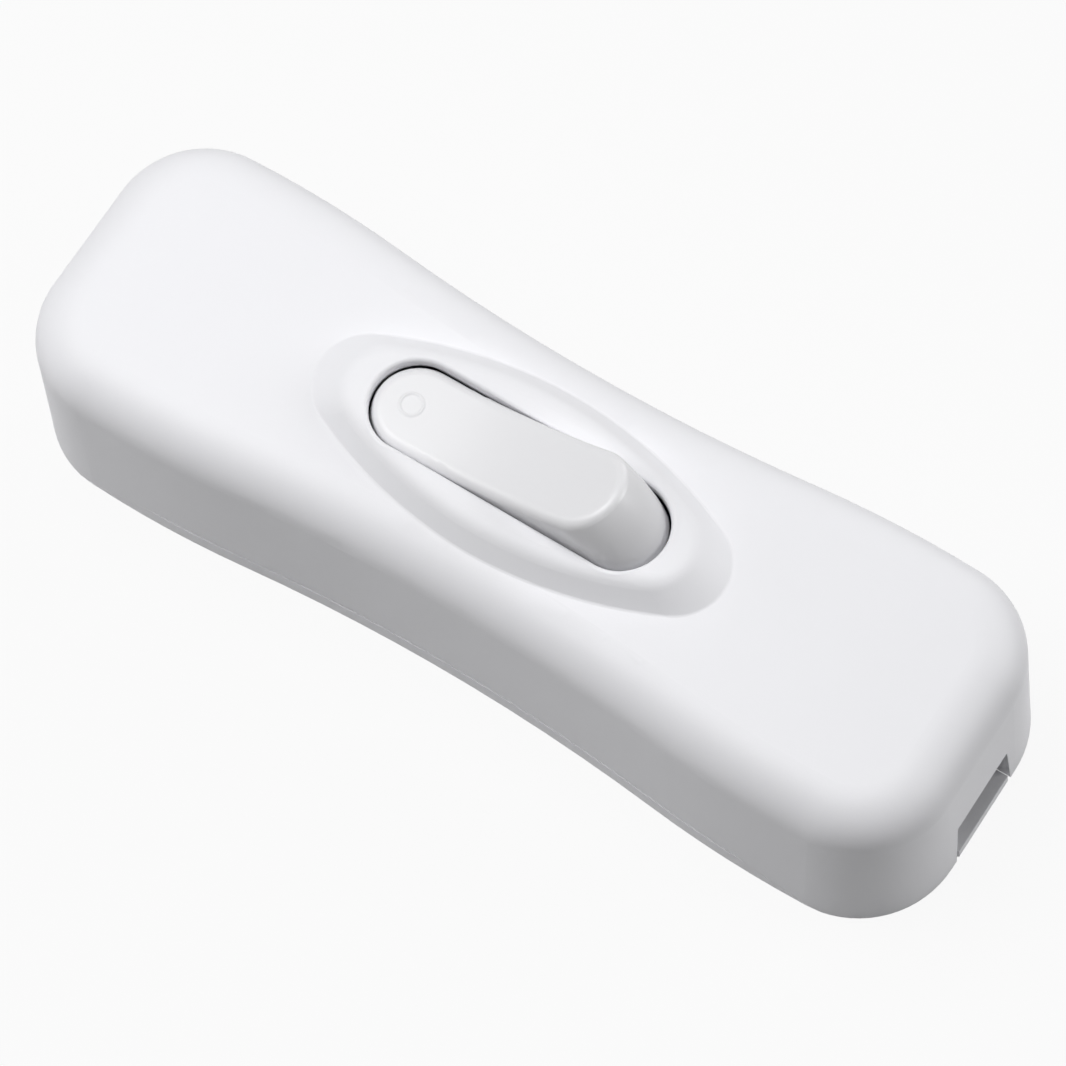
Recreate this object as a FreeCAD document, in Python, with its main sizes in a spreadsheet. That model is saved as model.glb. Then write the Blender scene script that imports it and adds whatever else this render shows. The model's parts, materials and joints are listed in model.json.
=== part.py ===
"""Inline cord switch: a waisted two-part casing with a rocker in a raised oval, and two poles inside.

Frame: +X along the switch towards its raised rocker end, +Z up, origin at the bottom centre of the base.
All lengths are in millimetres and all angles in degrees.
"""
import FreeCAD
import Part
import Sketcher
import math
import os
import re

Vector = FreeCAD.Vector
SHEET = "Size"
FLAT = 1e-4
SHARP = math.radians(10)
POLES = {"left": "pole_offset", "right": "-pole_offset"}
ENDS = {"front": "", "rear": "-"}
SIGNS = ("", "-")

# Driving dimensions, one cell each
SIZES = {
    # Casing
    "body_length": 70.0,
    "lobe_width": 22.4,
    "waist_width": 19.75,
    "lobe_offset": 24.85,
    "lobe_radius": 82.0,
    "corner_radius": 7.15,
    "body_height": 14.75,
    "draft_angle": 2.74,
    "top_round": 3.4,
    "inner_round_least": 0.3,
    "wall_thickness": 1.6,
    # Base, and the seam between it and the cover
    "cover_foot": 0.2,
    "base_edge": 1.7,
    "shadow_gap": 0.3,
    "shadow_depth": 0.6,
    "bottom_round": 0.35,
    "lip_height": 1.6,
    "lip_thickness": 1.0,
    "lip_clearance": 0.1,
    "arch_clearance": 0.15,
    # Cord inlets
    "inlet_top_width": 6.1,
    "inlet_foot_width": 6.8,
    "inlet_height": 4.2,
    "inlet_sill": 1.2,
    # Raised oval round the rocker
    "oval_length": 30.8,
    "oval_rise": 1.65,
    "oval_margin": 3.53,
    "oval_root": 0.5,
    "oval_end_radius": 3.7,
    "oval_side_slope": 1.4,
    "oval_end_slope": 2.5,
    "oval_edge_round": 1.5,
    "oval_foot_round": 0.25,
    "window_edge_round": 0.25,
    "window_rim": 0.9,
    # Rocker
    "rocker_radius": 11.3,
    "rocker_width": 6.1,
    "rocker_dish": 30.0,
    "rocker_stand": 0.64,
    "rocker_foot": 0.6,
    "rocker_skin": 1.2,
    "rocker_edge_round": 0.7,
    "rocker_gap": 0.16,
    "rocker_tilt": 14.0,
    "pivot_drop": 2.55,
    "pivot_radius": 1.2,
    "pivot_clearance": 0.05,
    "hub_length": 6.0,
    "hub_width": 8.6,
    "hub_drop": 3.0,
    "hub_top": 1.6,
    "cheek_gap": 0.3,
    "cheek_thickness": 1.4,
    "cheek_length": 4.8,
    "cheek_skin": 1.1,
    "snap_width": 2.1,
    # Sprung plungers in the rocker
    "pole_offset": 2.8,
    "plunger_radius": 0.87,
    "plunger_clearance": 0.08,
    "plunger_length": 3.55,
    "plunger_tip_flat": 0.09,
    "plunger_gap": 0.05,
    "bore_roof": 0.6,
    "spring_wire": 0.24,
    "spring_radius": 0.62,
    "spring_pitch": 0.75,
    "spring_play": 0.06,
    # Contacts
    "plate_thickness": 0.5,
    "plate_width": 3.2,
    "fulcrum_drop": 5.8,
    "fulcrum_height": 2.4,
    "fulcrum_foot": 1.6,
    "fulcrum_ridge": 0.15,
    "fulcrum_tail": 1.0,
    "ear_thickness": 0.4,
    "ear_length": 1.6,
    "ear_rise": 1.0,
    "seesaw_length": 13.6,
    "seesaw_width": 2.8,
    "seesaw_thickness": 0.5,
    "seesaw_gap": 0.05,
    "seesaw_play": 0.15,
    "seesaw_tilt": 8.5,
    "seesaw_corner": 0.6,
    "contact_offset": 5.4,
    "contact_radius": 1.1,
    "contact_head": 0.4,
    "contact_shank": 0.6,
    "contact_clinch": 0.85,
    "contact_clinch_height": 0.25,
    "contact_fit": 0.02,
    "switched_inner_end": 3.4,
    # Terminals
    "terminal_margin": 2.1,
    "terminal_screw_radius": 1.25,
    "terminal_screw_length": 2.8,
    "terminal_head_radius": 1.9,
    "terminal_head_height": 1.6,
    "clamp_plate_length": 4.2,
    "clamp_plate_width": 3.6,
    "clamp_plate_thickness": 0.6,
    "screw_slot_width": 0.6,
    "screw_slot_depth": 0.7,
    "screw_fit": 0.02,
    "screw_clearance": 0.2,
    # Ribs, posts and pegs in the base
    "rib_thickness": 1.0,
    "rib_offset": 7.8,
    "rib_width": 8.8,
    "barrier_thickness": 0.9,
    "barrier_drop": 4.0,
    "post_length": 4.8,
    "post_width": 4.0,
    "peg_radius": 0.6,
    "peg_post_radius": 1.2,
    "peg_height": 1.0,
    "peg_fit": 0.05,
    # Cord clamps
    "clamp_width": 4.6,
    "clamp_end_flat": 0.23,
    "clamp_thickness": 2.2,
    "clamp_level": 4.4,
    "clamp_ridge": 0.5,
    "clamp_ridge_width": 0.9,
    "clamp_channel": 6.2,
    "clamp_boss_radius": 2.3,
    "clamp_screw_radius": 1.1,
    "clamp_screw_length": 5.4,
    "clamp_head_radius": 2.0,
    "clamp_head_height": 1.5,
    # Case screws
    "case_screw_radius": 1.3,
    "case_screw_length": 9.0,
    "case_head_radius": 2.4,
    "case_head_height": 1.2,
    "case_head_sunk": 0.3,
    "case_boss_radius": 2.7,
    "case_boss_rise": 1.4,
    "case_boss_gap": 0.1,
}

# Lengths and places that keep their share of the casing's length or width
SHARES = {
    "side_arch_share": 0.64,
    "side_arch_foot_share": 0.86,
    "peg_share": 0.151,
    "terminal_share": 0.207,
    "case_screw_share": 0.3,
    "clamp_share": 0.4,
    "clamp_length_share": 0.7,
    "clamp_spacing_share": 0.51,
}

# Dimensions that follow from the driving ones
FORMULAS = {
    "side_arch": "side_arch_share * body_length",
    "side_arch_foot": "side_arch_foot_share * body_length",
    "peg_offset": "peg_share * body_length",
    "terminal_offset": "terminal_share * body_length",
    "case_screw_offset": "case_screw_share * body_length",
    "clamp_offset": "clamp_share * body_length",
    "clamp_length": "clamp_length_share * lobe_width",
    "clamp_spacing": "clamp_spacing_share * lobe_width",
    "rim_level": "base_edge + shadow_gap",
    "arch_slope": "(side_arch_foot - side_arch) / (2 * rim_level)",
    "inlet_top": "inlet_sill + inlet_height",
    "lip_level": "rim_level + lip_height",
    "roof_level": "body_height - wall_thickness",
    "plateau_level": "body_height + oval_rise",
    "ceiling_level": "plateau_level - wall_thickness",
    "rim_foot": "plateau_level - window_rim",
    "waist_depth": "(lobe_width - waist_width) / 2",
    "waist_radius": "(lobe_offset^2 + waist_depth^2) / (2 * waist_depth) - lobe_radius",
    "cover_inset": "cover_foot * tan(draft_angle)",
    "cavity_inset": "cover_inset + wall_thickness",
    "floor_inset": "wall_thickness + lip_clearance + rim_level * tan(draft_angle)",
    "lip_inset": "wall_thickness + lip_clearance + lip_level * tan(draft_angle)",
    "inner_round": "max(top_round - wall_thickness; inner_round_least)",
    "oval_half_width": "waist_width / 2 - oval_margin",
    "root_half_width": "oval_half_width + oval_root * oval_side_slope / oval_rise",
    "root_half_length": "oval_length / 2 + oval_root * oval_end_slope / oval_rise",
    "root_end_radius": "oval_end_radius * root_half_width / oval_half_width",
    "plateau_half_width": "oval_half_width - oval_side_slope",
    "plateau_half_length": "oval_length / 2 - oval_end_slope",
    "plateau_end_radius": "oval_end_radius * plateau_half_width / oval_half_width",
    "pivot_height": "body_height - pivot_drop",
    "rocker_top": "plateau_level - pivot_height + rocker_stand",
    "window_half_length": "sqrt(rocker_radius^2 - (rim_foot - pivot_height)^2) + rocker_gap",
    "window_half_width": "rocker_width / 2 + rocker_gap",
    "pocket_half_width": "hub_width / 2 + cheek_gap",
    "pocket_half_length": "rocker_radius + cheek_gap",
    "cheek_foot": "pivot_height - pivot_radius - cheek_skin",
    "pin_reach": "pocket_half_width + cheek_thickness",
    "fulcrum_level": "pivot_height - fulcrum_drop",
    "plunger_tip": "fulcrum_level + seesaw_gap + seesaw_thickness + plunger_gap - pivot_height",
    "plunger_top": "plunger_tip + plunger_length",
    "bore_radius": "plunger_radius + plunger_clearance",
    "bore_depth": "hub_drop + hub_top - bore_roof",
    "spring_height": "hub_top - bore_roof - plunger_top - spring_wire - 2 * spring_play",
    "plate_level": "fulcrum_level - fulcrum_height",
    "plate_top": "plate_level + plate_thickness",
    "fold_slope": "(fulcrum_level - plate_top) / (fulcrum_foot - fulcrum_ridge)",
    "fold_thickness": "plate_thickness / cos(atan(fold_slope))",
    "barrier_top": "pivot_height - barrier_drop",
    "plate_end": "terminal_offset + terminal_margin",
    "terminal_seat": "plate_top + clamp_plate_thickness",
    "clamp_top": "clamp_level + clamp_thickness",
    "case_boss_top": "rim_level + case_boss_rise",
    "case_head_seat": "case_head_sunk + case_head_height",
}

doc = FreeCAD.newDocument("InlineCordSwitch")
sheet = doc.addObject("Spreadsheet::Sheet", SHEET)


def fill_sheet():
    """Writes each driving number, then each formula, in a named cell of its own."""
    cells = [(name, repr(number)) for name, number in {**SIZES, **SHARES}.items()]
    cells += [(name, "=" + formula) for name, formula in FORMULAS.items()]
    for row, (name, content) in enumerate(cells, start=1):
        sheet.set("A%d" % row, name)
        sheet.set("B%d" % row, content)
        sheet.setAlias("B%d" % row, name)
    doc.recompute()


def linked(expression):
    """Puts the sheet's name before every size in an expression."""
    names = set(SIZES) | set(SHARES) | set(FORMULAS)

    def with_sheet(word):
        return SHEET + "." + word[0] if word[0] in names else word[0]

    return re.sub(r"[a-z_]+", with_sheet, expression)


def measure(expression):
    """Number that an expression of sizes has now."""
    return float(sheet.evalExpression(expression))


# Bodies, sketches and features

def new_body(label):
    body = doc.addObject("PartDesign::Body", label)
    body.Label = label
    return body


def place(thing, x="0", y="0", z="0", tilt=None):
    """Sets an object in the switch's frame, turned about +Y by the tilt."""
    angle = measure(tilt) if tilt else 0.0
    rotation = FreeCAD.Rotation(Vector(0, 1, 0), angle)
    thing.Placement = FreeCAD.Placement(Vector(measure(x), measure(y), measure(z)), rotation)
    for axis, expression in zip("xyz", (x, y, z)):
        if expression != "0":
            thing.setExpression("Placement.Base." + axis, linked(expression))


def new_sketch(body, name, plane="XY_Plane", lift="0"):
    sketch = body.newObject("Sketcher::SketchObject", name)
    support = next(item for item in body.Origin.OriginFeatures if item.Role == plane)
    sketch.AttachmentSupport = [(support, "")]
    sketch.MapMode = "FlatFace"
    if lift != "0":
        sketch.setExpression("AttachmentOffset.Base.z", linked(lift))
    return sketch


def bind(sketch, constraint, expression):
    """Adds a dimension to a sketch and ties it to the sheet."""
    index = sketch.addConstraint(constraint)
    name = "size_%d" % index
    sketch.renameConstraint(index, name)
    sketch.setExpression("Constraints." + name, linked(expression))


def fix_point(sketch, geometry, point, x, y):
    """Ties a point of a sketch to its two distances from the sketch's origin."""
    for kind, axis, expression in (("DistanceX", -2, x), ("DistanceY", -1, y)):
        distance = measure(expression)
        if abs(distance) < FLAT:
            sketch.addConstraint(Sketcher.Constraint("PointOnObject", geometry, point, axis))
        elif distance > 0:
            bind(sketch, Sketcher.Constraint(kind, -1, 1, geometry, point, distance), expression)
        else:
            bind(sketch, Sketcher.Constraint(kind, geometry, point, -1, 1, -distance), "-(%s)" % expression)


def draw_polygon(sketch, corners):
    """Closed outline of straight lines through corners given as pairs of expressions."""
    points = [Vector(measure(x), measure(y), 0) for x, y in corners]
    first = sketch.GeometryCount
    count = len(points)
    for index in range(count):
        sketch.addGeometry(Part.LineSegment(points[index], points[(index + 1) % count]), False)
    for index in range(count):
        following = first + (index + 1) % count
        sketch.addConstraint(Sketcher.Constraint("Coincident", first + index, 2, following, 1))
    for index, (x, y) in enumerate(corners):
        fix_point(sketch, first + index, 1, x, y)


def draw_rectangle(sketch, x, y, length, width):
    left, right = "(%s) - (%s) / 2" % (x, length), "(%s) + (%s) / 2" % (x, length)
    low, high = "(%s) - (%s) / 2" % (y, width), "(%s) + (%s) / 2" % (y, width)
    draw_polygon(sketch, [(left, low), (right, low), (right, high), (left, high)])


def draw_circle(sketch, x, y, radius):
    centre = Vector(measure(x), measure(y), 0)
    circle = sketch.addGeometry(Part.Circle(centre, Vector(0, 0, 1), measure(radius)), False)
    fix_point(sketch, circle, 3, x, y)
    bind(sketch, Sketcher.Constraint("Radius", circle, measure(radius)), radius)


def arc_between(centre, start, end):
    """Anticlockwise arc about a centre."""
    radius = (start - centre).Length
    angles = [math.atan2(point.y - centre.y, point.x - centre.x) for point in (start, end)]
    if angles[1] < angles[0]:
        angles[1] += 2 * math.pi
    return Part.ArcOfCircle(Part.Circle(centre, Vector(0, 0, 1), radius), *angles)


def join_tangent(sketch, first, joints):
    """Makes neighbouring curves of a closed outline run smoothly into each other."""
    for index, (leaving, arriving) in enumerate(joints):
        following = first + (index + 1) % len(joints)
        sketch.addConstraint(Sketcher.Constraint("Tangent", first + index, leaving, following, arriving))


def draw_stadium(sketch, half_length, half_width):
    """Slot shape along X: two straight sides and two half-round ends."""
    centre = "((%s) - (%s))" % (half_length, half_width)
    reach = measure(centre)
    radius = measure(half_width)
    corners = [Vector(sx * reach, sy * radius, 0) for sx, sy in ((1, -1), (1, 1), (-1, 1), (-1, -1))]
    first = sketch.GeometryCount
    sketch.addGeometry(arc_between(Vector(reach, 0, 0), corners[0], corners[1]), False)
    sketch.addGeometry(Part.LineSegment(corners[1], corners[2]), False)
    sketch.addGeometry(arc_between(Vector(-reach, 0, 0), corners[2], corners[3]), False)
    sketch.addGeometry(Part.LineSegment(corners[3], corners[0]), False)
    join_tangent(sketch, first, [(2, 1)] * 4)
    for arc, sign in ((first, ""), (first + 2, "-")):
        fix_point(sketch, arc, 3, sign + centre, "0")
        bind(sketch, Sketcher.Constraint("Radius", arc, radius), half_width)


def draw_tread(sketch, radius, half_width):
    """Half section of a wheel with a half-round tread, from its axis outwards along X."""
    centre = "((%s) - (%s))" % (radius, half_width)
    reach = measure(centre)
    half = measure(half_width)
    corners = [Vector(reach, -half, 0), Vector(reach, half, 0), Vector(0, half, 0), Vector(0, -half, 0)]
    arc = sketch.addGeometry(arc_between(Vector(reach, 0, 0), corners[0], corners[1]), False)
    for start, end in ((1, 2), (2, 3), (3, 0)):
        sketch.addGeometry(Part.LineSegment(corners[start], corners[end]), False)
    sketch.addConstraint(Sketcher.Constraint("Tangent", arc, 2, arc + 1, 1))
    sketch.addConstraint(Sketcher.Constraint("Coincident", arc + 1, 2, arc + 2, 1))
    sketch.addConstraint(Sketcher.Constraint("Coincident", arc + 2, 2, arc + 3, 1))
    sketch.addConstraint(Sketcher.Constraint("Tangent", arc + 3, 2, arc, 1))
    fix_point(sketch, arc, 3, centre, "0")
    bind(sketch, Sketcher.Constraint("Radius", arc, half), half_width)
    fix_point(sketch, arc + 2, 1, "0", half_width)
    fix_point(sketch, arc + 2, 2, "0", "-(%s)" % half_width)


def draw_oval(sketch, half_length, half_width, end_radius):
    """Oval of four arcs, drawn as two end arcs and two long side arcs."""
    reach = "((%s) - %s)" % (half_length, end_radius)
    side_radius = "((%s^2 + %s^2 - %s^2) / (2 * (%s - %s)))" % (
        reach, half_width, end_radius, half_width, end_radius)
    end = measure(end_radius)
    side = measure(side_radius)
    end_centre = Vector(measure(reach), 0, 0)
    side_centre = Vector(0, measure(half_width) - side, 0)
    touch = end_centre + (end_centre - side_centre).normalize() * end
    corners = [Vector(sx * touch.x, sy * touch.y, 0) for sx, sy in ((1, -1), (1, 1), (-1, 1), (-1, -1))]
    centres = [end_centre, side_centre, -end_centre, -side_centre]
    first = sketch.GeometryCount
    for index, centre in enumerate(centres):
        sketch.addGeometry(arc_between(centre, corners[index], corners[(index + 1) % 4]), False)
    join_tangent(sketch, first, [(2, 1)] * 4)
    for arc, sign in ((first, ""), (first + 2, "-")):
        fix_point(sketch, arc, 3, sign + reach, "0")
        bind(sketch, Sketcher.Constraint("Radius", arc, end), end_radius)
    for arc in (first + 1, first + 3):
        bind(sketch, Sketcher.Constraint("Radius", arc, side), side_radius)


def draw_casing(sketch, inset):
    """Plan outline of the casing, moved inwards: flat ends, round corners, full lobes and a waist."""
    lobe = measure("lobe_radius - (%s)" % inset)
    corner = measure("corner_radius - (%s)" % inset)
    waist = measure("waist_radius + (%s)" % inset)
    lobe_centre = Vector(measure("lobe_offset"), measure("lobe_width / 2 - lobe_radius"), 0)
    corner_x = measure("body_length / 2 - corner_radius")
    spread = math.sqrt((lobe - corner) ** 2 - (corner_x - lobe_centre.x) ** 2)
    corner_centre = Vector(corner_x, lobe_centre.y + spread, 0)
    waist_centre = Vector(0, measure("waist_width / 2 + waist_radius"), 0)
    end = Vector(corner_x + corner, corner_centre.y, 0)
    shoulder = corner_centre + (corner_centre - lobe_centre).normalize() * corner
    flank = waist_centre + (lobe_centre - waist_centre).normalize() * waist

    def mirrored(point, sx, sy):
        return Vector(sx * point.x, sy * point.y, 0)

    first = sketch.GeometryCount
    curves = []
    for sx, sy in ((1, 1), (-1, -1)):
        corner_at, lobe_at = mirrored(corner_centre, sx, sy), mirrored(lobe_centre, sx, sy)
        far_corner, far_lobe = mirrored(corner_centre, -sx, sy), mirrored(lobe_centre, -sx, sy)
        points = [mirrored(point, sx, sy) for point in (end, shoulder, flank)]
        far_points = [mirrored(point, -sx, sy) for point in (flank, shoulder, end)]
        curves.append(Part.LineSegment(mirrored(end, sx, -sy), points[0]))
        curves.append(arc_between(corner_at, points[0], points[1]))
        curves.append(arc_between(lobe_at, points[1], points[2]))
        curves.append(arc_between(mirrored(waist_centre, 1, sy), far_points[0], points[2]))
        curves.append(arc_between(far_lobe, far_points[0], far_points[1]))
        curves.append(arc_between(far_corner, far_points[1], far_points[2]))
    sketch.addGeometry(curves, False)
    half_joints = [(2, 1), (2, 1), (2, 2), (1, 1), (2, 1), (2, 1)]
    join_tangent(sketch, first, half_joints * 2)
    for half, (sx, sy) in enumerate((("", ""), ("-", "-"))):
        base = first + 6 * half
        opposite = "-" if sx == "" else ""
        sketch.addConstraint(Sketcher.Constraint("Vertical", base))
        end_point = "%s(body_length / 2 - (%s))" % (sx, inset)
        distance = measure(end_point)
        if distance > 0:
            bind(sketch, Sketcher.Constraint("DistanceX", -1, 1, base, 1, distance), end_point)
        else:
            bind(sketch, Sketcher.Constraint("DistanceX", base, 1, -1, 1, -distance), "-(%s)" % end_point)
        for arc in (base + 1, base + 5):
            bind(sketch, Sketcher.Constraint("Radius", arc, corner), "corner_radius - (%s)" % inset)
        for arc, side in ((base + 2, sx), (base + 4, opposite)):
            fix_point(sketch, arc, 3, side + "lobe_offset", "%s(lobe_width / 2 - lobe_radius)" % sy)
            bind(sketch, Sketcher.Constraint("Radius", arc, lobe), "lobe_radius - (%s)" % inset)
        bind(sketch, Sketcher.Constraint("Radius", base + 3, waist), "waist_radius + (%s)" % inset)


def pad(body, name, sketch, length, taper=None, both_ways=False):
    feature = body.newObject("PartDesign::Pad", name)
    feature.Profile = sketch
    feature.setExpression("Length", linked(length))
    if taper:
        feature.setExpression("TaperAngle", linked(taper))
    if both_ways:
        feature.SideType = "Symmetric"
    return feature


def pocket(body, name, sketch, depth, taper=None, upwards=False, both_ways=False):
    feature = body.newObject("PartDesign::Pocket", name)
    feature.Profile = sketch
    feature.setExpression("Length", linked(depth))
    if taper:
        feature.setExpression("TaperAngle", linked(taper))
    feature.Reversed = upwards
    if both_ways:
        feature.SideType = "Symmetric"
    return feature


def flat_edges(shape, level, half_length="body_length", half_width="body_length"):
    """Names of the edges that lie in the plane at a level, within a rectangle about the middle."""
    height = measure(level)
    reach = measure(half_length) + FLAT
    side = measure(half_width) + FLAT
    names = []
    for index, edge in enumerate(shape.Edges, start=1):
        points = edge.discretize(9)
        in_plane = all(abs(point.z - height) < FLAT for point in points)
        within = all(abs(point.x) < reach and abs(point.y) < side for point in points)
        if in_plane and within:
            names.append("Edge%d" % index)
    return names


def sharp_edges(shape, low, high):
    """Names of the edges between two levels where the faces on both sides meet at an angle."""
    bottom, top = measure(low) - FLAT, measure(high) + FLAT
    names = []
    for index, edge in enumerate(shape.Edges, start=1):
        if edge.BoundBox.ZMin < bottom or edge.BoundBox.ZMax > top:
            continue
        middle = edge.valueAt((edge.FirstParameter + edge.LastParameter) / 2)
        normals = [face.normalAt(*face.Surface.parameter(middle))
                   for face in shape.ancestorsOfType(edge, Part.Face)]
        if len(normals) == 2 and normals[0].getAngle(normals[1]) > SHARP:
            names.append("Edge%d" % index)
    return names


def rim_edges(shape, radius):
    """Names of the edges round the cylindrical face of a given radius."""
    size = measure(radius)
    rounds = [face for face in shape.Faces
              if isinstance(face.Surface, Part.Cylinder) and abs(face.Surface.Radius - size) < FLAT]
    rims = [edge for face in rounds for edge in face.Edges]
    return ["Edge%d" % index for index, edge in enumerate(shape.Edges, start=1)
            if any(edge.isSame(rim) for rim in rims)]


def round_edges(body, name, feature, edges, radius):
    fillet = body.newObject("PartDesign::Fillet", name)
    fillet.Base = (feature, edges)
    fillet.setExpression("Radius", linked(radius))
    doc.recompute()
    return fillet


def turn(label, corners):
    """Turned piece: the outline of radius and height is spun about Z."""
    body = new_body(label)
    sketch = new_sketch(body, label + "_section", "XZ_Plane")
    draw_polygon(sketch, corners)
    spun = body.newObject("PartDesign::Revolution", label + "_turning")
    spun.Profile = sketch
    spun.ReferenceAxis = (sketch, ["V_Axis"])
    spun.Angle = 360
    return body


def group(label, members):
    """Like pieces that share one node, each still a solid of its own."""
    bundle = doc.addObject("Part::Compound", label)
    bundle.Label = label
    bundle.Links = members
    return bundle


# Casing

def make_top_cover():
    """Drafted shell with a rounded top, the raised oval, the window and what hangs from the roof."""
    body = new_body("top_cover")
    outline = new_sketch(body, "cover_outline", lift="cover_foot")
    draw_casing(outline, "cover_inset")
    block = pad(body, "cover_block", outline, "body_height - cover_foot", taper="-draft_angle")
    doc.recompute()
    top = round_edges(body, "cover_round", block, flat_edges(block.Shape, "body_height"), "top_round")

    foot = new_sketch(body, "oval_root", lift="body_height - oval_root")
    draw_oval(foot, "root_half_length", "root_half_width", "root_end_radius")
    plateau = new_sketch(body, "oval_plateau", lift="plateau_level")
    draw_oval(plateau, "plateau_half_length", "plateau_half_width", "plateau_end_radius")
    oval = body.newObject("PartDesign::AdditiveLoft", "raised_oval")
    oval.Profile = foot
    oval.Sections = [plateau]
    oval.Ruled = True
    doc.recompute()
    plateau_edges = flat_edges(oval.Shape, "plateau_level")
    rounded = round_edges(body, "oval_edge", oval, plateau_edges, "oval_edge_round")
    foot_edges = sharp_edges(rounded.Shape, "body_height - oval_root", "body_height")
    round_edges(body, "oval_foot_edge", rounded, foot_edges, "oval_foot_round")

    cavity_sketch = new_sketch(body, "cavity_outline", lift="cover_foot")
    draw_casing(cavity_sketch, "cavity_inset")
    cavity = pocket(body, "cavity", cavity_sketch, "roof_level - cover_foot", taper="-draft_angle",
                    upwards=True)
    doc.recompute()
    round_edges(body, "cavity_round", cavity, flat_edges(cavity.Shape, "roof_level"), "inner_round")

    under = new_sketch(body, "oval_hollow_outline", lift="roof_level")
    draw_stadium(under, "pocket_half_length", "pocket_half_width")
    pocket(body, "oval_hollow", under, "ceiling_level - roof_level", upwards=True)
    relief = new_sketch(body, "window_relief_outline", lift="roof_level")
    draw_stadium(relief, "pocket_half_length", "window_half_width + rocker_gap")
    pocket(body, "window_relief", relief, "rim_foot - roof_level", upwards=True)
    opening = new_sketch(body, "window_outline", lift="roof_level")
    draw_stadium(opening, "window_half_length", "window_half_width")
    window = pocket(body, "window", opening, "plateau_level - roof_level + wall_thickness", upwards=True)
    doc.recompute()
    lip = flat_edges(window.Shape, "plateau_level", "window_half_length", "window_half_width")
    round_edges(body, "window_edge", window, lip, "window_edge_round")

    inlet = new_sketch(body, "inlet_outline", "YZ_Plane")
    draw_polygon(inlet, [
        ("-inlet_foot_width / 2", "0"),
        ("inlet_foot_width / 2", "0"),
        ("inlet_top_width / 2", "inlet_top"),
        ("-inlet_top_width / 2", "inlet_top"),
    ])
    pocket(body, "cord_inlets", inlet, "body_length + wall_thickness", both_ways=True)
    arch = new_sketch(body, "arch_outline", "XZ_Plane")
    draw_polygon(arch, [
        ("-side_arch_foot / 2", "0"),
        ("side_arch_foot / 2", "0"),
        ("side_arch / 2", "rim_level"),
        ("-side_arch / 2", "rim_level"),
    ])
    pocket(body, "side_arches", arch, "lobe_width + wall_thickness", both_ways=True)

    pillars = new_sketch(body, "pillar_circles", lift="case_boss_top + case_boss_gap")
    for sign in SIGNS:
        draw_circle(pillars, sign + "case_screw_offset", "0", "case_boss_radius")
    pad(body, "screw_pillars", pillars, "roof_level - case_boss_top")
    cheeks = new_sketch(body, "cheek_plan", lift="cheek_foot")
    for sign in SIGNS:
        draw_rectangle(cheeks, "0", sign + "(pocket_half_width + cheek_thickness / 2)",
                       "cheek_length", "cheek_thickness")
    pad(body, "pivot_cheeks", cheeks, "roof_level - cheek_foot + inner_round / 2")

    pilots = new_sketch(body, "pilot_circles", lift="case_boss_top")
    for sign in SIGNS:
        draw_circle(pilots, sign + "case_screw_offset", "0", "case_screw_radius + screw_fit")
    pocket(body, "pilot_holes", pilots,
           "case_screw_length + case_head_seat - case_boss_top + screw_clearance", upwards=True)
    bearing = new_sketch(body, "bearing_circle", "XZ_Plane")
    draw_circle(bearing, "0", "pivot_height", "pivot_radius + pivot_clearance")
    pocket(body, "bearings", bearing, "2 * pin_reach + cheek_gap", both_ways=True)
    throat = new_sketch(body, "snap_throat", "XZ_Plane")
    draw_polygon(throat, [
        ("-snap_width / 2", "cheek_foot - cheek_skin"),
        ("snap_width / 2", "cheek_foot - cheek_skin"),
        ("snap_width / 2", "pivot_height"),
        ("-snap_width / 2", "pivot_height"),
    ])
    pocket(body, "snap_throats", throat, "2 * pin_reach + cheek_gap", both_ways=True)
    return body


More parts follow.
